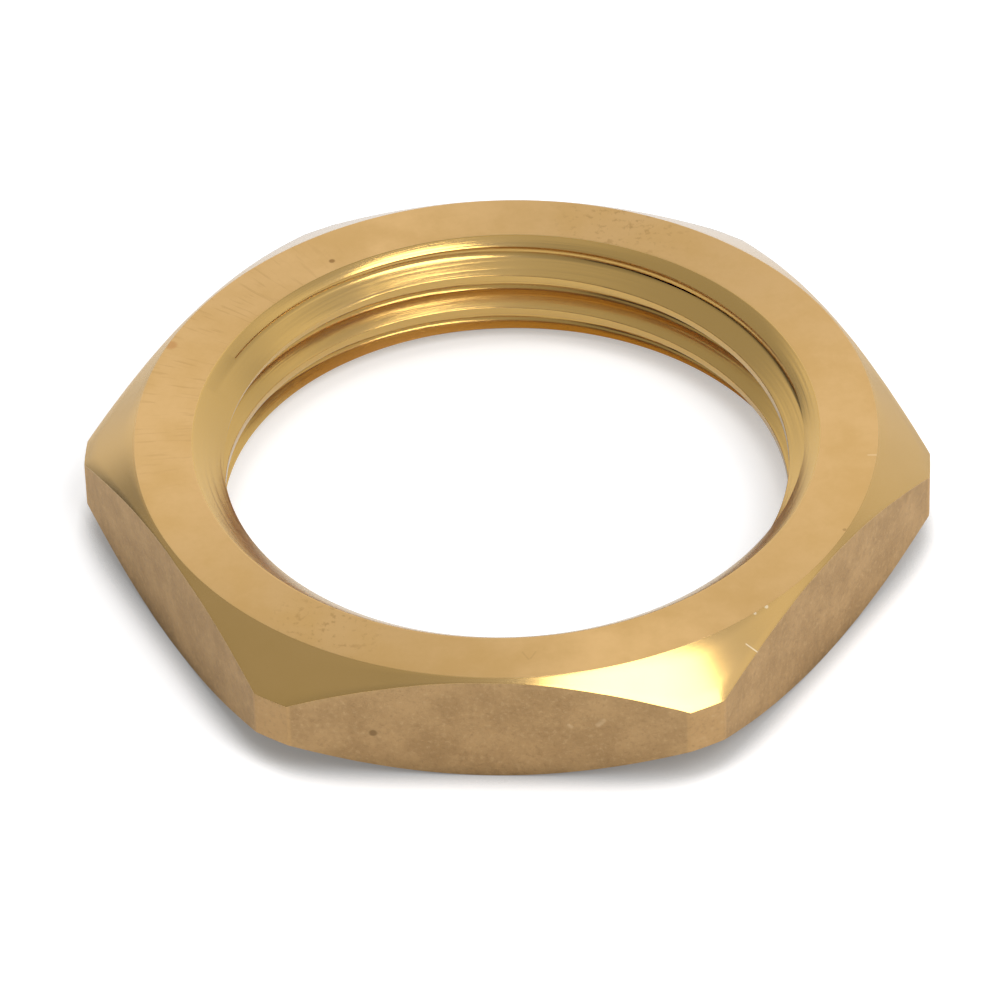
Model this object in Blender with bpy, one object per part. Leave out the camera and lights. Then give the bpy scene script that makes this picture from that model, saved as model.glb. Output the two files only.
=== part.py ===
"""Brass locknut for a one inch parallel pipe thread.

The nut is one forged piece. Its hexagon is turned down at the corners, faced and
chamfered on both sides, and its hole is countersunk at both ends and tapped right
through.
Units are metres, with +Z up along the thread's axis. The origin is the middle of
the lower bearing face, and two of the six flats face -Y and +Y.
"""

import math

import bmesh
import bpy

MM = 0.001

# G1 pipe thread, right hand: 11 turns to the inch, Whitworth flanks, rounded roots and crests.
# Its crests are lower and rounder than a full thread's, which is 0.64 pitches deep.
THREAD_MAJOR_DIAMETER = 33.25 * MM
THREAD_PITCH = 25.4 / 11 * MM
THREAD_DEPTH_IN_PITCHES = 0.525
ROOT_ROUNDING_IN_PITCHES = 0.1373
FLANK_ANGLE = math.radians(27.5)

# Angle about Z at which a thread crest crosses the lower bearing face
THREAD_START_ANGLE = math.radians(16.0)

# Countersink at each end of the hole, wider than the thread by this margin all round
COUNTERSINK_MARGIN = 0.475 * MM
COUNTERSINK_ANGLE = math.radians(40.0)

# Forged body: the wall between the thread's roots and a flat makes it 41 mm across flats
WALL_AT_FLATS = 3.875 * MM
ACROSS_FLATS = THREAD_MAJOR_DIAMETER + 2 * WALL_AT_FLATS
SHARP_CORNER_RADIUS = ACROSS_FLATS / 2 / math.cos(math.pi / 6)
THICKNESS = 6.75 * MM

# Turned bearing faces, each inset from the flats, and the cones that run out to the corners.
# The corners are turned down by a little, to a narrow strip of a cylinder.
TOP_FACE_INSET = 0.25 * MM
BOTTOM_FACE_INSET = 0.05 * MM
CHAMFER_ANGLE = math.radians(36.0)
CORNER_TURNING = 0.56 * MM

# Facets of the turned surfaces, and of each rounded root and crest of the thread
TURN_STEPS = 96
ARC_STEPS = 5

# How far a cutter reaches past the surface that it cuts through
OVERCUT = 1.0 * MM
MERGE_DISTANCE = 0.001 * MM

# Edges that turn by more than this are shaded sharp. The facets of the thread's arcs stay below it.
SHARP_EDGE_ANGLE = math.radians(26.5)

BRASS_COLOUR = (0.58, 0.36, 0.13, 1.0)
BRASS_ROUGHNESS = 0.35


def clear_scene():
    for existing in list(bpy.data.objects):
        bpy.data.objects.remove(existing, do_unlink=True)


def add_object(name, bm):
    """Put a finished bmesh into the scene as an object."""
    bmesh.ops.recalc_face_normals(bm, faces=bm.faces)
    mesh = bpy.data.meshes.new(name)
    bm.to_mesh(mesh)
    bm.free()
    piece = bpy.data.objects.new(name, mesh)
    bpy.context.scene.collection.objects.link(piece)
    return piece


def add_cutter(name, bm):
    """An object that only shapes the nut and isn't part of it."""
    cutter = add_object(name, bm)
    cutter.hide_render = True
    cutter.display_type = "WIRE"
    return cutter


def turned_solid(profile):
    """A solid turned about Z from (radius, height) points that start and end on the axis."""
    bm = bmesh.new()
    points = [bm.verts.new((radius, 0.0, height)) for radius, height in profile]
    edges = [bm.edges.new(pair) for pair in zip(points, points[1:])]
    bmesh.ops.spin(bm, geom=points + edges, cent=(0, 0, 0), axis=(0, 0, 1),
                   angle=math.tau, steps=TURN_STEPS)
    bmesh.ops.remove_doubles(bm, verts=bm.verts, dist=MERGE_DISTANCE)
    return bm


def forged_hexagon():
    """Hexagonal blank with sharp corners, taller than the finished nut at both faces."""
    bm = bmesh.new()
    outline = []
    for corner in range(6):
        angle = corner * math.pi / 3
        x = SHARP_CORNER_RADIUS * math.cos(angle)
        y = SHARP_CORNER_RADIUS * math.sin(angle)
        outline.append(bm.verts.new((x, y, -OVERCUT)))
    base = bm.faces.new(outline)
    extruded = bmesh.ops.extrude_face_region(bm, geom=[base])
    raised = [item for item in extruded["geom"] if isinstance(item, bmesh.types.BMVert)]
    bmesh.ops.translate(bm, verts=raised, vec=(0, 0, THICKNESS + 2 * OVERCUT))
    return bm


def turned_form():
    """What the lathe leaves: two flat faces, a cone beside each, and a cylinder at the corners."""
    top_radius = ACROSS_FLATS / 2 - TOP_FACE_INSET
    bottom_radius = ACROSS_FLATS / 2 - BOTTOM_FACE_INSET
    slope = math.tan(CHAMFER_ANGLE)
    # On a much thinner nut the two cones meet before they reach the cylinder
    meeting_radius = (THICKNESS / slope + top_radius + bottom_radius) / 2
    corner_radius = min(SHARP_CORNER_RADIUS - CORNER_TURNING, meeting_radius)
    return turned_solid([
        (0, 0),
        (bottom_radius, 0),
        (corner_radius, (corner_radius - bottom_radius) * slope),
        (corner_radius, THICKNESS - (corner_radius - top_radius) * slope),
        (top_radius, THICKNESS),
        (0, THICKNESS),
    ])


def countersink(face_height, outward):
    """Cone that opens the hole at one face. outward is +1 at the top face, -1 at the bottom."""
    radius = THREAD_MAJOR_DIAMETER / 2 + COUNTERSINK_MARGIN
    slope = math.tan(COUNTERSINK_ANGLE)
    return turned_solid([
        (0, face_height - outward * radius * slope),
        (radius + OVERCUT, face_height + outward * OVERCUT * slope),
        (0, face_height + outward * OVERCUT * slope),
    ])


def thread_arc(centre_radius, centre_height, rounding):
    """A rounded root, or a crest where rounding is negative, as (radius, height) points."""
    half_turn = math.pi / 2 - FLANK_ANGLE
    points = []
    for step in range(ARC_STEPS + 1):
        angle = half_turn * (2 * step / ARC_STEPS - 1)
        radius = centre_radius + rounding * math.cos(angle)
        points.append((radius, centre_height + abs(rounding) * math.sin(angle)))
    return points


def thread_profile():
    """One turn of the thread: a root at height zero and the crest above it. Straight flanks join them."""
    root_radius = THREAD_MAJOR_DIAMETER / 2
    root_rounding = ROOT_ROUNDING_IN_PITCHES * THREAD_PITCH
    root = thread_arc(root_radius - root_rounding, 0.0, root_rounding)

    # The crest's arc touches both of its flanks, which would meet at a point nearer the axis
    flank_start_radius, flank_start_height = root[-1]
    flank_rise = THREAD_PITCH / 2 - flank_start_height
    sharp_crest_radius = flank_start_radius - flank_rise / math.tan(FLANK_ANGLE)
    crest_radius = root_radius - THREAD_DEPTH_IN_PITCHES * THREAD_PITCH
    crest_rounding = (crest_radius - sharp_crest_radius) / (1 / math.sin(FLANK_ANGLE) - 1)
    crest = thread_arc(crest_radius + crest_rounding, THREAD_PITCH / 2, -crest_rounding)
    return root + crest


def tap():
    """The tap as a closed solid. Its helical ridge is the groove of the nut's thread."""
    profile = [(radius, height + THREAD_PITCH / 2) for radius, height in thread_profile()]
    crest_at_zero_angle = -THREAD_PITCH * THREAD_START_ANGLE / math.tau
    turns_below = math.ceil(OVERCUT / THREAD_PITCH) + 1
    turns = turns_below + math.ceil((THICKNESS + OVERCUT) / THREAD_PITCH) + 1
    lowest = crest_at_zero_angle - turns_below * THREAD_PITCH

    bm = bmesh.new()
    sections = []
    for step in range(turns * TURN_STEPS + 1):
        # Half a facet from the other tools' facets, so that their edges never run into each other
        turned = (step + 0.5) / TURN_STEPS
        angle = math.tau * turned
        rise = lowest + THREAD_PITCH * turned
        section = []
        for radius, height in profile:
            point = (radius * math.cos(angle), radius * math.sin(angle), rise + height)
            section.append(bm.verts.new(point))
        sections.append(section)

    # One turn of the surface, and the flank that joins it to the next turn above
    for step, (section, following) in enumerate(zip(sections, sections[1:])):
        for lower in range(len(profile) - 1):
            upper = lower + 1
            bm.faces.new((section[lower], following[lower], following[upper], section[upper]))
        if step + TURN_STEPS + 1 < len(sections):
            above = sections[step + TURN_STEPS]
            above_following = sections[step + TURN_STEPS + 1]
            bm.faces.new((section[-1], following[-1], above_following[0], above[0]))

    # Each end is closed by a fan of triangles to a point on the axis
    first_turn = [section[0] for section in sections[:TURN_STEPS + 1]]
    last_turn = [section[-1] for section in sections[-TURN_STEPS - 1:]]
    lower_rim = first_turn + sections[0][:0:-1]
    upper_rim = last_turn + sections[-1][-2::-1]
    for rim, height in ((lower_rim, lowest), (upper_rim, lowest + (turns + 1) * THREAD_PITCH)):
        tip = bm.verts.new((0, 0, height))
        for start, end in zip(rim, rim[1:] + rim[:1]):
            bm.faces.new((start, end, tip))
    return bm


def cut(piece, cutter, operation):
    modifier = piece.modifiers.new(cutter.name, "BOOLEAN")
    modifier.operation = operation
    modifier.solver = "EXACT"
    modifier.object = cutter


def apply_cuts(piece, cutters):
    """Keep the cut mesh and shade it smooth between its machined edges."""
    evaluated = piece.evaluated_get(bpy.context.evaluated_depsgraph_get())
    mesh = bpy.data.meshes.new_from_object(evaluated)
    bm = bmesh.new()
    bm.from_mesh(mesh)
    bmesh.ops.remove_doubles(bm, verts=bm.verts, dist=MERGE_DISTANCE)
    bm.to_mesh(mesh)
    bm.free()
    piece.modifiers.clear()
    piece.data = mesh
    for cutter in cutters:
        bpy.data.objects.remove(cutter, do_unlink=True)
    mesh.shade_smooth()
    mesh.set_sharp_from_angle(angle=SHARP_EDGE_ANGLE)


def brass():
    material = bpy.data.materials.new("brass")
    material.use_nodes = True
    shader = material.node_tree.nodes["Principled BSDF"]
    shader.inputs["Base Color"].default_value = BRASS_COLOUR
    shader.inputs["Metallic"].default_value = 1.0
    shader.inputs["Roughness"].default_value = BRASS_ROUGHNESS
    return material


def build_locknut():
    locknut = add_object("locknut", forged_hexagon())
    locknut.data.materials.append(brass())
    turning = add_cutter("turning_form", turned_form())
    cut(locknut, turning, "INTERSECT")
    bore_tools = [
        add_cutter("tap", tap()),
        add_cutter("top_countersink", countersink(THICKNESS, 1)),
        add_cutter("bottom_countersink", countersink(0, -1)),
    ]
    for tool in bore_tools:
        cut(locknut, tool, "DIFFERENCE")
    apply_cuts(locknut, [turning] + bore_tools)


clear_scene()
build_locknut()
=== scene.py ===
"""Looks of the brass pipe locknut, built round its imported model.

One fine mesh stands for the nut: a hexagon turned down at its corners, cut by two countersinks
and a tap, as the real nut is. Each surface has its own finish: faced, chamfered, forged or cut.
Lengths are in metres. A point of a section is a (radius, height) pair.
"""

import math

import bmesh
import bpy
from mathutils import Matrix, Vector, noise


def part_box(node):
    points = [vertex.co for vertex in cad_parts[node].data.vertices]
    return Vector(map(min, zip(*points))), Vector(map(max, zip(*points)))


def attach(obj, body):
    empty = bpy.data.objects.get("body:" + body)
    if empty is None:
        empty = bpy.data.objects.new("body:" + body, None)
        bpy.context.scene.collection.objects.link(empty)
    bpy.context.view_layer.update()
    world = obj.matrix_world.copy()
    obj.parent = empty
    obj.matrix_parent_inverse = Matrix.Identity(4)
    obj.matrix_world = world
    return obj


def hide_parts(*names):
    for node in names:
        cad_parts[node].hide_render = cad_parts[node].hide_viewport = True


MM = 0.001
NODE = "locknut"

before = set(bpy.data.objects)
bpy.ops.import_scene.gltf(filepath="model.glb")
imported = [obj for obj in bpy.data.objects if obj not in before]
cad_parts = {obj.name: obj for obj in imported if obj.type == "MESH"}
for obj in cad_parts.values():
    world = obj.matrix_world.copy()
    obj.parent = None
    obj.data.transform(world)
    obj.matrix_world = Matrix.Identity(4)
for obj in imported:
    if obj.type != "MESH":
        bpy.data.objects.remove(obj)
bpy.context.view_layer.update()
node_low, node_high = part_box(NODE)

# Body, from the frame. Its corners are turned down to narrow strips of a cylinder.
ACROSS_FLATS = node_high[1] - node_low[1]
CORNER_RADIUS = node_high[0]
THICKNESS = node_high[2] - node_low[2]
TOP_FACE_INSET = 0.25 * MM
BOTTOM_FACE_INSET = 0.05 * MM
TOP_FACE_RADIUS = ACROSS_FLATS / 2 - TOP_FACE_INSET
BOTTOM_FACE_RADIUS = ACROSS_FLATS / 2 - BOTTOM_FACE_INSET
CHAMFER_SLOPE = math.tan(math.radians(36.0))

# How far the forged flats wander, in broad waves and in finer ones
BROAD_WAVES = 0.025 * MM
FINE_WAVES = 0.012 * MM

# Thread
THREAD_PITCH = 25.4 / 11 * MM
THREAD_DEPTH = 0.525 * THREAD_PITCH
THREAD_ROOT_RADIUS = 33.25 / 2 * MM
THREAD_CREST_RADIUS = THREAD_ROOT_RADIUS - THREAD_DEPTH
CREST_WIDTH = 0.42 * MM
FLANK_ANGLE = math.radians(27.5)
THREAD_START_ANGLE = math.radians(39.4)

# Countersinks, a little wider than the thread
COUNTERSINK_RADIUS = THREAD_ROOT_RADIUS + 0.475 * MM
COUNTERSINK_ANGLE = math.radians(40.0)

# How far each kind of edge is broken, and how much the root of the thread is rounded
FACE_EDGE = 0.05 * MM
CHAMFER_EDGE = 0.03 * MM
COUNTERSINK_EDGE = 0.03 * MM
CREST_EDGE = 0.06 * MM
ROOT_EDGE = 0.45 * MM

# Fineness of the mesh. Sections fall on the edges of the turned corners, 2.5 degrees to either side.
SECTIONS = 576
EDGE_STEPS = 3
SHARP_EDGE_ANGLE = math.radians(24.0)
MERGE_DISTANCE = 0.0002 * MM

# Rows of the mesh this far outside the hole keep the faces flat right up to its rim
FACE_ROWS = (0.15 * MM, 1.5 * MM)

# The ring starts with a plain hole this much narrower than the thread.
# Cutters reach as far past what they cut.
OVERCUT = 1.0 * MM
CORE_RADIUS = THREAD_CREST_RADIUS - OVERCUT

# The cutters' sections lie between the ring's and each other's, so that no edge runs into another
COUNTERSINK_START = math.tau / SECTIONS / 2
TAP_START = math.tau / SECTIONS / 4

# Zones of the surface, each with its own finish
TURNED_FACE, CHAMFER, FORGED, BORE = range(4)


def between(start, end, share):
    """The point that lies this share of the way from start to end."""
    return (start[0] + (end[0] - start[0]) * share, start[1] + (end[1] - start[1]) * share)


def rounded_corner(before, corner, after, radius):
    """Points of an arc that rounds a corner. The radius shrinks where a side is too short for it."""
    to_before = Vector(before) - Vector(corner)
    to_after = Vector(after) - Vector(corner)
    half_angle = to_before.angle(to_after) / 2
    longest = 0.45 * min(to_before.length, to_after.length)
    tangent = min(radius / math.tan(half_angle), longest)
    radius = tangent * math.tan(half_angle)
    middle_direction = (to_before.normalized() + to_after.normalized()).normalized()
    centre = Vector(corner) + middle_direction * radius / math.sin(half_angle)
    start = Vector(corner) + to_before.normalized() * tangent - centre
    end = Vector(corner) + to_after.normalized() * tangent - centre
    turn = start.angle_signed(end)
    points = []
    for step in range(EDGE_STEPS + 1):
        arm = start.copy()
        arm.rotate(Matrix.Rotation(-turn * step / EDGE_STEPS, 2))
        points.append(tuple(centre + arm))
    return points


def wall_radius(angle, height):
    """Distance from the axis to the outer wall. Its corners lie at 0, 60, 120 degrees and so on."""
    from_flat = angle % (math.pi / 3) - math.pi / 6
    flat = ACROSS_FLATS / 2 / math.cos(from_flat)
    # The noise changes as much over a radian as over 20 mm of height
    spot = Vector((math.cos(angle), math.sin(angle), height / (20 * MM))) * 6.0
    waviness = BROAD_WAVES * noise.noise(spot) + FINE_WAVES * noise.noise(spot * 3.1)
    return min(flat + waviness, CORNER_RADIUS)


def ring_section(angle):
    """The ring cut at this angle, as a closed line of points.

    Each is a ((radius, height), zone) pair. The zone is that of the side that starts there.
    """
    low_wall = wall_radius(angle, 0.0)
    high_wall = wall_radius(angle, THICKNESS)
    corners = [
        (CORE_RADIUS, 0.0),
        (BOTTOM_FACE_RADIUS, 0.0),
        (low_wall, (low_wall - BOTTOM_FACE_RADIUS) * CHAMFER_SLOPE),
        (high_wall, THICKNESS - (high_wall - TOP_FACE_RADIUS) * CHAMFER_SLOPE),
        (TOP_FACE_RADIUS, THICKNESS),
        (CORE_RADIUS, THICKNESS),
    ]
    # Each edge: how far it is broken, how many points follow it along the next side,
    # and that side's zone
    edges = [
        (FACE_EDGE, 3, CHAMFER),
        (CHAMFER_EDGE, 6, FORGED),
        (CHAMFER_EDGE, 3, CHAMFER),
        (FACE_EDGE, 0, TURNED_FACE),
    ]
    rows = [COUNTERSINK_RADIUS + row for row in FACE_ROWS]
    points = [(corners[0], TURNED_FACE)]
    points += [((radius, 0.0), TURNED_FACE) for radius in rows]
    for index, (edge, added, zone) in enumerate(edges, start=1):
        arc = rounded_corner(corners[index - 1], corners[index], corners[index + 1], edge)
        points += [(point, zone) for point in arc]
        for step in range(added):
            share = (step + 1) / (added + 1)
            points.append((between(corners[index], corners[index + 1], share), zone))
    points += [((radius, THICKNESS), TURNED_FACE) for radius in reversed(rows)]
    points.append((corners[-1], TURNED_FACE))
    return points


def polar_point(angle, radius, height):
    """The point at this angle round the axis, this far from it and this high."""
    return (radius * math.cos(angle), radius * math.sin(angle), height)


def add_object(name, bm):
    """Put a finished bmesh into the scene as an object."""
    bmesh.ops.recalc_face_normals(bm, faces=bm.faces)
    mesh = bpy.data.meshes.new(name)
    bm.to_mesh(mesh)
    bm.free()
    piece = bpy.data.objects.new(name, mesh)
    bpy.context.scene.collection.objects.link(piece)
    return piece


def add_cutter(name, bm):
    """A tool for the bore. What it cuts gets the finish of the bore."""
    bmesh.ops.remove_doubles(bm, verts=bm.verts, dist=MERGE_DISTANCE)
    for face in bm.faces:
        face.material_index = BORE
    return add_object(name, bm)


def ring():
    """The nut before its bore is cut."""
    bm = bmesh.new()
    columns = []
    for step in range(SECTIONS):
        angle = math.tau * step / SECTIONS
        section = ring_section(angle)
        columns.append([(bm.verts.new(polar_point(angle, *point)), zone) for point, zone in section])
    for column, following in zip(columns, columns[1:] + columns[:1]):
        for row, (vertex, zone) in enumerate(column):
            above = (row + 1) % len(column)
            face = bm.faces.new((vertex, following[row][0], following[above][0], column[above][0]))
            face.material_index = zone
    return add_object("locknut_body", bm)


def countersink(name, face_height, outward):
    """Cone that opens the hole at one face, blunter at its rim.

    outward is +1 at the top face and -1 at the bottom face.
    """
    slope = math.tan(COUNTERSINK_ANGLE)
    rim_slope = math.tan(COUNTERSINK_ANGLE / 2)
    rim_inner = COUNTERSINK_RADIUS - COUNTERSINK_EDGE
    rim_outer = COUNTERSINK_RADIUS + COUNTERSINK_EDGE
    rim_height = face_height - outward * (rim_outer - rim_inner) * rim_slope
    cone_end = CORE_RADIUS - OVERCUT
    cone_end_height = rim_height - outward * (rim_inner - cone_end) * slope
    profile = [
        (0.0, cone_end_height),
        (cone_end, cone_end_height),
        (rim_inner, rim_height),
        (rim_outer + OVERCUT / rim_slope, face_height + outward * OVERCUT),
        (0.0, face_height + outward * OVERCUT),
    ]
    bm = bmesh.new()
    points = [bm.verts.new(polar_point(COUNTERSINK_START, *point)) for point in profile]
    edges = [bm.edges.new(pair) for pair in zip(points, points[1:])]
    bmesh.ops.spin(
        bm, geom=points + edges, cent=(0, 0, 0), axis=(0, 0, 1), angle=math.tau, steps=SECTIONS
    )
    return add_cutter(name, bm)


def thread_profile():
    """One turn of the thread: a rounded root at height zero, and above it a flank and a flat crest."""
    crest_edge = (THREAD_PITCH - CREST_WIDTH) / 2
    root_edge = crest_edge - THREAD_DEPTH * math.tan(FLANK_ANGLE)
    corners = [
        (THREAD_CREST_RADIUS, -crest_edge),
        (THREAD_ROOT_RADIUS, -root_edge),
        (THREAD_ROOT_RADIUS, root_edge),
        (THREAD_CREST_RADIUS, crest_edge),
        (THREAD_CREST_RADIUS, THREAD_PITCH - crest_edge),
        (THREAD_ROOT_RADIUS, THREAD_PITCH - root_edge),
    ]
    points = []
    for index, edge in enumerate((ROOT_EDGE, ROOT_EDGE, CREST_EDGE, CREST_EDGE), start=1):
        points += rounded_corner(corners[index - 1], corners[index], corners[index + 1], edge)
    return points


def tap():
    """The tap as a closed solid. Its helical ridge is the groove of the nut's thread."""
    profile = [(radius, height + THREAD_PITCH / 2) for radius, height in thread_profile()]
    crest_at_zero_angle = -THREAD_PITCH * THREAD_START_ANGLE / math.tau
    turns_below = math.ceil(OVERCUT / THREAD_PITCH) + 1
    turns = turns_below + math.ceil((THICKNESS + OVERCUT) / THREAD_PITCH) + 1
    lowest = crest_at_zero_angle - turns_below * THREAD_PITCH

    bm = bmesh.new()
    columns = []
    for step in range(turns * SECTIONS + 1):
        angle = TAP_START + math.tau * step / SECTIONS
        rise = lowest + THREAD_PITCH * angle / math.tau
        column = [bm.verts.new(polar_point(angle, radius, rise + height)) for radius, height in profile]
        columns.append(column)

    # One turn of the surface, and the flank that joins it to the next turn above
    for step, (column, following) in enumerate(zip(columns, columns[1:])):
        for row in range(len(profile) - 1):
            bm.faces.new((column[row], following[row], following[row + 1], column[row + 1]))
        if step + SECTIONS + 1 < len(columns):
            above = columns[step + SECTIONS]
            above_following = columns[step + SECTIONS + 1]
            bm.faces.new((column[-1], following[-1], above_following[0], above[0]))

    # Each end is closed by a fan of triangles to a point on the axis
    first_turn = [column[0] for column in columns[:SECTIONS + 1]]
    last_turn = [column[-1] for column in columns[-SECTIONS - 1:]]
    lower_rim = first_turn + columns[0][:0:-1]
    upper_rim = last_turn + columns[-1][-2::-1]
    highest = lowest + (turns + 1) * THREAD_PITCH
    for rim, height in ((lower_rim, lowest), (upper_rim, highest)):
        tip = bm.verts.new((0, 0, height))
        for start, end in zip(rim, rim[1:] + rim[:1]):
            bm.faces.new((start, end, tip))
    return add_cutter("tap", bm)


def apply_modifiers(piece):
    """Give an object the mesh that its modifiers make of it, and drop them."""
    evaluated = piece.evaluated_get(bpy.context.evaluated_depsgraph_get())
    piece.data = bpy.data.meshes.new_from_object(evaluated)
    piece.modifiers.clear()


def cut_bore(nut):
    """Cut the countersinks and the thread, and shade the nut smooth between its edges."""
    cutters = [
        countersink("top_countersink", THICKNESS, 1),
        countersink("bottom_countersink", 0.0, -1),
        tap(),
    ]
    for cutter in cutters:
        modifier = nut.modifiers.new(cutter.name, "BOOLEAN")
        modifier.operation = "DIFFERENCE"
        modifier.solver = "EXACT"
        modifier.object = cutter
    apply_modifiers(nut)
    for cutter in cutters:
        bpy.data.objects.remove(cutter, do_unlink=True)
    nut.data.shade_smooth()
    nut.data.set_sharp_from_angle(angle=SHARP_EDGE_ANGLE)
    weighting = nut.modifiers.new("face_area_normals", "WEIGHTED_NORMAL")
    weighting.keep_sharp = True
    apply_modifiers(nut)


class Nodes:
    """Short ways to add and connect the nodes of one tree."""

    def __init__(self, tree):
        self.tree = tree

    def node(self, kind, **settings):
        made = self.tree.nodes.new(kind)
        for setting, value in settings.items():
            setattr(made, setting, value)
        return made

    def wire(self, source, target):
        """Feed a socket with another socket's output or with a plain value."""
        if isinstance(source, bpy.types.NodeSocket):
            self.tree.links.new(source, target)
        else:
            target.default_value = source

    def math(self, operation, first, second=0.0):
        made = self.node("ShaderNodeMath", operation=operation)
        self.wire(first, made.inputs[0])
        self.wire(second, made.inputs[1])
        return made.outputs[0]

    def add(self, first, *others):
        for other in others:
            first = self.math("ADD", first, other)
        return first

    def times(self, first, *others):
        for other in others:
            first = self.math("MULTIPLY", first, other)
        return first

    def step(self, value, low, high, to_low=0.0, to_high=1.0):
        """value mapped from low..high to to_low..to_high by a smooth step, and held at the ends."""
        made = self.node("ShaderNodeMapRange", interpolation_type="SMOOTHSTEP")
        for socket, amount in zip(made.inputs, (value, low, high, to_low, to_high)):
            self.wire(amount, socket)
        return made.outputs[0]

    def vectors(self, operation, first, second, result="Vector"):
        """Combine two vectors. A distance or a dot product comes out at the socket Value."""
        made = self.node("ShaderNodeVectorMath", operation=operation)
        self.wire(first, made.inputs[0])
        self.wire(second, made.inputs[1])
        return made.outputs[result]

    def scaled(self, vector, factor):
        made = self.node("ShaderNodeVectorMath", operation="SCALE")
        self.wire(vector, made.inputs[0])
        self.wire(factor, made.inputs["Scale"])
        return made.outputs[0]

    def split(self, vector):
        parts = self.node("ShaderNodeSeparateXYZ")
        self.wire(vector, parts.inputs[0])
        return parts.outputs

    def join(self, x, y, z):
        joined = self.node("ShaderNodeCombineXYZ")
        for socket, amount in zip(joined.inputs, (x, y, z)):
            self.wire(amount, socket)
        return joined.outputs[0]

    def from_axis(self, x, y):
        """Distance from the nut's axis."""
        return self.math("SQRT", self.add(self.times(x, x), self.times(y, y)))


class Surface(Nodes):
    """A brass finish under construction, with coordinates that follow the turning."""

    def __init__(self, name, roughness, brushed=0.0, oily=0.0):
        self.material = bpy.data.materials.new(name)
        self.material.use_nodes = True
        super().__init__(self.material.node_tree)
        self.shader = self.tree.nodes["Principled BSDF"]
        self.shader.inputs["Metallic"].default_value = 1.0
        self.shader.inputs["Roughness"].default_value = roughness
        if brushed:
            # Tool lines run round the axis, so highlights spread across them
            self.shader.inputs["Anisotropic"].default_value = brushed
            self.shader.inputs["Anisotropic Rotation"].default_value = 0.25
            round_axis = self.node("ShaderNodeTangent", direction_type="RADIAL", axis="Z")
            self.wire(round_axis.outputs[0], self.shader.inputs["Tangent"])
        if oily:
            # A thin film of cutting oil, which pales the highlights and spreads a little round them
            self.shader.inputs["Coat Weight"].default_value = oily
            self.shader.inputs["Coat Roughness"].default_value = 0.35
        self.place = self.node("ShaderNodeTexCoord").outputs["Object"]
        x, y, self.height = self.split(self.place)
        self.radius = self.from_axis(x, y)
        self.across = (self.math("DIVIDE", x, self.radius), self.math("DIVIDE", y, self.radius))

    def polar(self, around, outward, upward):
        """Coordinates that follow the turning: a circle of size around, radius and height scaled."""
        along = self.add(self.times(self.radius, outward), self.times(self.height, upward))
        return self.join(self.times(self.across[0], around), self.times(self.across[1], around), along)

    def noise(self, vector, scale, detail=3.0, roughness=0.5):
        made = self.node("ShaderNodeTexNoise")
        self.wire(vector, made.inputs["Vector"])
        made.inputs["Scale"].default_value = scale
        made.inputs["Detail"].default_value = detail
        made.inputs["Roughness"].default_value = roughness
        return made.outputs["Fac"]

    def sector(self, direction, half_width):
        """1 towards this direction from the axis, fading to 0 at half_width to either side.

        Both are in degrees.
        """
        facing = math.radians(direction)
        towards = self.add(
            self.times(self.across[0], math.cos(facing)),
            self.times(self.across[1], math.sin(facing)),
        )
        edge = math.cos(math.radians(half_width))
        full = math.cos(math.radians(half_width / 3))
        return self.step(towards, edge, full)

    def spot(self, point, size, softness=0.5):
        """1 inside a round spot of this radius, fading to 0 at its rim."""
        distance = self.vectors("DISTANCE", self.place, point, "Value")
        return self.step(distance, size, size * (1 - softness))

    def scratch(self, start, end, width):
        """1 on a straight scratch from start to end, fading to 0 at half its width."""
        start, end = Vector(start), Vector(end)
        along = (end - start).normalized()
        offset = self.vectors("SUBTRACT", self.place, start)
        travelled = self.node("ShaderNodeClamp")
        self.wire(self.vectors("DOT_PRODUCT", offset, along, "Value"), travelled.inputs["Value"])
        travelled.inputs["Max"].default_value = (end - start).length
        foot = self.scaled(along, travelled.outputs[0])
        distance = self.vectors("DISTANCE", offset, foot, "Value")
        return self.step(distance, width / 2, width / 8)

    def mix(self, share, first, second):
        made = self.node("ShaderNodeMix", data_type="RGBA")
        self.wire(share, made.inputs["Factor"])
        self.wire(first, made.inputs[6])
        self.wire(second, made.inputs[7])
        return made.outputs[2]

    def marked(self, colour, tone, *shares):
        """The colour with marks of this tone on it, as strong as the product of the shares."""
        return self.mix(self.times(*shares), colour, tone)

    def bump(self, height, distance):
        made = self.node("ShaderNodeBump")
        made.inputs["Distance"].default_value = distance
        self.wire(height, made.inputs["Height"])
        return made.outputs["Normal"]

    def finish(self, colour=None, roughness=None, normal=None):
        for name, source in (("Base Color", colour), ("Roughness", roughness), ("Normal", normal)):
            if source is not None:
                self.wire(source, self.shader.inputs[name])
        return self.material


def at(x, y, z):
    """A point given in millimetres."""
    return (x * MM, y * MM, z * MM)


def on_top(x, y):
    """A point of the top face, given in millimetres from the axis."""
    return (x * MM, y * MM, THICKNESS)


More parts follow.
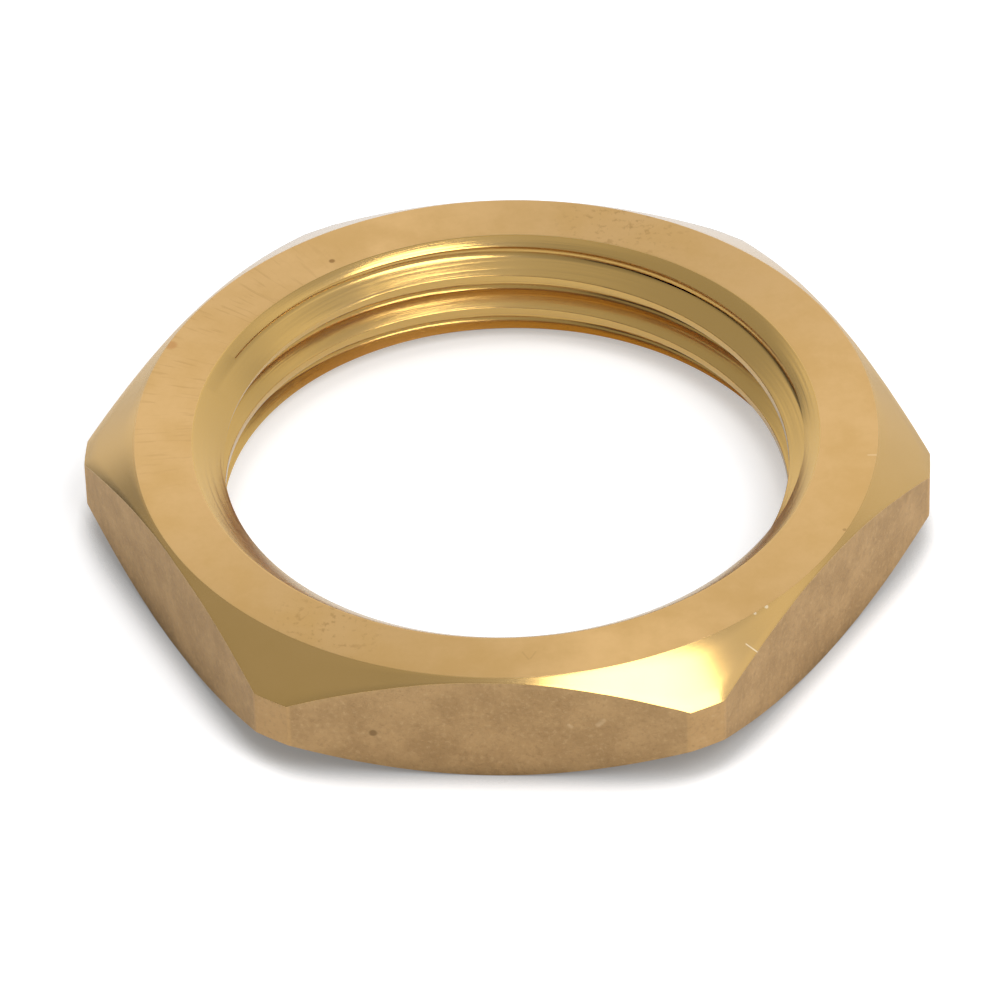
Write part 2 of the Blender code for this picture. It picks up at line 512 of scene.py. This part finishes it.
def turned_face_finish():
    """Satin face left by a facing tool: faint rings, soft mottling, chatter on one side and marks."""
    surface = Surface("turned_face", 0.38, brushed=0.8)
    mottle = surface.noise(surface.place, 0.28 / MM, detail=5.0, roughness=0.6)
    colour = surface.mix(
        surface.step(mottle, 0.3, 0.7), (0.645, 0.400, 0.150, 1.0), (0.745, 0.480, 0.205, 1.0)
    )

    # Short strokes along the radius, left of the hole, where the tool chattered
    strokes = surface.noise(surface.polar(90.0, 0.5 / MM, 0.0), 1.0, detail=2.0)
    chatter = surface.times(surface.step(strokes, 0.54, 0.70), surface.sector(160.0, 42.0))
    colour = surface.marked(colour, (0.43, 0.25, 0.080, 1.0), chatter, 0.25)

    # Clusters of dark specks
    grains = surface.noise(surface.place, 2.2 / MM, detail=4.0, roughness=0.65)
    specks = surface.step(grains, 0.54, 0.66)
    worn = surface.add(
        surface.spot(on_top(-8.8, -16.6), 4.5 * MM, 0.9),
        surface.spot(on_top(5.8, 18.4), 5.5 * MM, 0.9),
    )
    colour = surface.marked(colour, (0.40, 0.225, 0.070, 1.0), specks, worn, 0.45)

    # Single marks: a pit, a reddish stain and two rust-coloured dots
    for point, size, share, tone in (
        (on_top(-10.44, 14.54), 0.22 * MM, 0.75, (0.28, 0.14, 0.040, 1.0)),
        (on_top(-18.86, 6.93), 0.45 * MM, 0.45, (0.50, 0.21, 0.060, 1.0)),
        (on_top(19.11, -7.67), 0.16 * MM, 0.6, (0.30, 0.16, 0.050, 1.0)),
        (on_top(18.55, -7.9), 0.14 * MM, 0.5, (0.30, 0.16, 0.050, 1.0)),
    ):
        colour = surface.marked(colour, tone, surface.spot(point, size), share)

    # A nick of two short strokes near the front, and a bright rub on the right
    nick = surface.add(
        surface.scratch(on_top(1.75, -18.2), on_top(2.1, -18.75), 0.16 * MM),
        surface.scratch(on_top(2.45, -18.15), on_top(2.2, -18.7), 0.14 * MM),
    )
    colour = surface.marked(colour, (0.36, 0.20, 0.060, 1.0), nick, 0.18)
    rub = surface.scratch(on_top(19.72, -1.65), on_top(20.64, -1.63), 0.10 * MM)
    colour = surface.marked(colour, (0.95, 0.74, 0.45, 1.0), rub, 0.6)

    rings = surface.noise(surface.polar(1.5, 7.0 / MM, 0.0), 1.0, detail=3.0)
    relief = surface.add(surface.times(rings, 0.8), surface.times(chatter, -0.6))
    roughness = surface.step(mottle, 0.3, 0.7, 0.34, 0.42)
    return surface.finish(colour, roughness, surface.bump(relief, 0.005 * MM))


def chamfer_finish():
    """Bright cone turned with a sharp tool."""
    surface = Surface("chamfer", 0.17, brushed=0.4, oily=1.0)
    rings = surface.noise(surface.polar(1.0, 9.0 / MM, 0.0), 1.0, detail=3.0)
    mottle = surface.noise(surface.place, 0.3 / MM)
    colour = surface.mix(mottle, (0.62, 0.380, 0.100, 1.0), (0.68, 0.420, 0.130, 1.0))

    # A bright scratch beside the corner in front, and two dings on the face's edge above it
    rubs = surface.add(
        surface.scratch(at(13.49, -16.44, 6.01), at(14.18, -16.66, 5.57), 0.12 * MM),
        surface.spot(at(13.91, -14.76, 6.72), 0.12 * MM),
        surface.spot(at(14.50, -14.20, 6.71), 0.15 * MM),
    )
    colour = surface.marked(colour, (0.97, 0.80, 0.55, 1.0), rubs, 0.8)
    return surface.finish(colour, None, surface.bump(rings, 0.0016 * MM))


def forged_finish():
    """Blasted forging skin: dull and finely grained, with paler specks, and brighter at the corners."""
    surface = Surface("forged_skin", 0.55)
    grain = surface.noise(surface.place, 3.6 / MM, detail=5.0, roughness=0.7)
    patches = surface.noise(surface.place, 0.5 / MM, detail=5.0, roughness=0.6)
    colour = surface.mix(
        surface.step(patches, 0.3, 0.7), (0.48, 0.308, 0.144, 1.0), (0.59, 0.388, 0.187, 1.0)
    )
    corner = surface.step(surface.radius, CORNER_RADIUS - 0.13 * MM, CORNER_RADIUS - 0.05 * MM)
    colour = surface.marked(colour, (0.66, 0.422, 0.190, 1.0), corner, 0.6)

    # Pale and dark specks of the grain
    colour = surface.mix(surface.step(grain, 0.50, 0.72, 0.0, 0.6), colour, (0.70, 0.50, 0.270, 1.0))
    colour = surface.mix(surface.step(grain, 0.50, 0.30, 0.0, 0.35), colour, (0.30, 0.175, 0.075, 1.0))

    # A pit and two short rubs on the front flat
    pit = surface.spot(at(-6.12, -20.5, 2.92), 0.28 * MM)
    colour = surface.marked(colour, (0.20, 0.11, 0.045, 1.0), pit, 0.6)
    rubs = surface.add(
        surface.scratch(at(5.80, -20.5, 3.75), at(6.06, -20.5, 4.05), 0.45 * MM),
        surface.scratch(at(4.25, -20.5, 3.70), at(4.38, -20.5, 3.58), 0.30 * MM),
    )
    colour = surface.marked(colour, (0.80, 0.60, 0.36, 1.0), rubs, grain, 0.8)
    roughness = surface.step(grain, 0.3, 0.7, 0.5, 0.64)
    return surface.finish(colour, roughness, surface.bump(grain, 0.06 * MM))


def bore_finish():
    """Freshly cut thread and countersinks: bright, with tool lines that run with the turning."""
    surface = Surface("cut_thread", 0.2, brushed=0.4, oily=1.0)
    lines = surface.noise(surface.polar(1.2, 3.6 / MM, 3.6 / MM), 1.0, detail=4.0, roughness=0.6)
    roughness = surface.step(lines, 0.3, 0.7, 0.11, 0.22)
    return surface.finish((0.63, 0.390, 0.100, 1.0), roughness, surface.bump(lines, 0.014 * MM))


def make_nut():
    nut = ring()
    for material in (turned_face_finish(), chamfer_finish(), forged_finish(), bore_finish()):
        nut.data.materials.append(material)
    cut_bore(nut)
    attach(nut, "root")
    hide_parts(NODE)


def make_camera():
    """The photograph's view, fitted to the nut's outline, faces and thread."""
    azimuth = math.radians(3.86)
    elevation = math.radians(40.35)
    roll = math.radians(-1.66)
    distance = 431.7 * MM
    # The nut's origin lies off the middle of the picture by this much, right and down
    aside, below = 0.467 * MM, 1.344 * MM
    back = Vector((
        math.sin(azimuth) * math.cos(elevation),
        -math.cos(azimuth) * math.cos(elevation),
        math.sin(elevation),
    ))
    level = Vector((math.cos(azimuth), math.sin(azimuth), 0.0))
    level_up = back.cross(level)
    right = level * math.cos(roll) + level_up * math.sin(roll)
    up = level_up * math.cos(roll) - level * math.sin(roll)
    turn = Matrix((right, up, back)).transposed().to_4x4()

    camera = bpy.data.objects.new("camera", bpy.data.cameras.new("camera"))
    camera.data.sensor_width = 36.0
    camera.data.lens = 282.5
    camera.data.clip_start = 10 * MM
    camera.matrix_world = Matrix.Translation(back * distance - right * aside + up * below) @ turn
    bpy.context.scene.collection.objects.link(camera)
    bpy.context.scene.camera = camera


def floor_finish():
    """White, with a soft dark rim of painted shadow where the nut stands."""
    material = bpy.data.materials.new("white_floor")
    material.use_nodes = True
    nodes = Nodes(material.node_tree)
    shader = nodes.tree.nodes["Principled BSDF"]
    shader.inputs["Roughness"].default_value = 0.9
    shader.inputs["Specular IOR Level"].default_value = 0.0
    # Painted shadow: ambient occlusion darkens the floor's colour and glow where the nut lies within 2
    # mm
    nearby = nodes.node("ShaderNodeAmbientOcclusion", samples=8)
    nearby.inputs["Distance"].default_value = 2.0 * MM
    rim = nodes.step(nearby.outputs["AO"], 0.42, 1.0, -0.6, 0.0)
    x, y = nodes.split(nodes.node("ShaderNodeTexCoord").outputs["Object"])[:2]
    # The rim of painted shadow is fainter inside the hole, where the nut itself shades the floor
    strength = nodes.step(nodes.from_axis(x, y), 17.2 * MM, 19.0 * MM, 0.3, 1.0)
    painted_shadow = nodes.add(1.0, nodes.times(rim, strength))
    nodes.wire(nodes.scaled((0.87, 0.88, 0.90), painted_shadow), shader.inputs["Base Color"])

    # The camera sees the floor a little brighter than the metal does, so that only the painted shadow
    # looks dark
    path = nodes.node("ShaderNodeLightPath")
    glow = nodes.add(
        nodes.times(path.outputs["Is Camera Ray"], 0.45),
        nodes.times(path.outputs["Is Glossy Ray"], 0.12),
    )
    shader.inputs["Emission Color"].default_value = (1.0, 1.0, 1.0, 1.0)
    nodes.wire(nodes.times(glow, painted_shadow), shader.inputs["Emission Strength"])
    return material


def make_floor():
    size = 3.0
    mesh = bpy.data.meshes.new("floor")
    corners = [(-size, -size, 0), (size, -size, 0), (size, size, 0), (-size, size, 0)]
    mesh.from_pydata(corners, [], [(0, 1, 2, 3)])
    mesh.materials.append(floor_finish())
    floor = bpy.data.objects.new("floor", mesh)
    bpy.context.scene.collection.objects.link(floor)


def make_lights():
    """One round softbox overhead, a little to the right and in front."""
    lamp = bpy.data.lights.new("overhead_softbox", "AREA")
    lamp.shape = "DISK"
    lamp.size = 0.468
    radiance = 5.5
    area = math.pi * (lamp.size / 2) ** 2
    lamp.energy = radiance * math.pi * area
    light = bpy.data.objects.new("overhead_softbox", lamp)
    light.visible_camera = False
    light.location = (0.312, -0.342, 0.60)
    bpy.context.scene.collection.objects.link(light)


def make_world():
    """Studio walls: pale behind the nut, with a glow on the right, and darker low on the left."""
    world = bpy.data.worlds.new("studio")
    bpy.context.scene.world = world
    world.use_nodes = True
    nodes = Nodes(world.node_tree)
    right, behind, above = nodes.split(nodes.node("ShaderNodeTexCoord").outputs["Generated"])

    # Regions of the room, by direction from the nut. Each fades out at its edges.
    back_wall = nodes.times(
        nodes.step(behind, 0.3, 0.62),
        nodes.step(above, 0.93, 0.72),
        nodes.step(above, 0.0, 0.16, 0.4, 1.0),
        nodes.step(right, 0.3, 0.7, 1.0, 0.5),
        nodes.step(right, -0.65, -0.8, 1.0, 0.3),
    )
    dark_side = nodes.times(
        nodes.step(right, -0.2, -0.6),
        nodes.step(above, 0.5, 0.2),
        nodes.step(behind, 0.8, 0.55),
    )
    dim_front = nodes.times(nodes.step(right, 0.2, -0.3), nodes.step(behind, -0.25, -0.5))
    right_glow = nodes.times(
        nodes.step(right, 0.2, 0.55),
        nodes.step(above, 0.4, 0.7),
        nodes.step(above, 0.85, 0.7),
        nodes.step(behind, -0.4, -0.1),
        nodes.step(behind, 0.5, 0.2),
    )
    ceiling = nodes.step(above, 0.88, 0.98)

    # Plain level of the room, and what each region adds to it or takes away
    level = 0.55
    for region, change in (
        (right, 0.07),
        (back_wall, 0.52),
        (dark_side, -0.48),
        (dim_front, -0.12),
        (right_glow, 0.38),
        (ceiling, 0.12),
    ):
        level = nodes.add(level, nodes.times(region, change))

    # The camera sees white
    shown = nodes.node("ShaderNodeMix")
    nodes.wire(nodes.node("ShaderNodeLightPath").outputs["Is Camera Ray"], shown.inputs["Factor"])
    nodes.wire(level, shown.inputs[2])
    nodes.wire(1.0, shown.inputs[3])
    background = nodes.tree.nodes["Background"]
    background.inputs["Color"].default_value = (1.0, 1.0, 1.0, 1.0)
    nodes.wire(shown.outputs[0], background.inputs["Strength"])


make_nut()
make_camera()
make_floor()
make_lights()
make_world()
bpy.context.scene.view_settings.view_transform = "Standard"
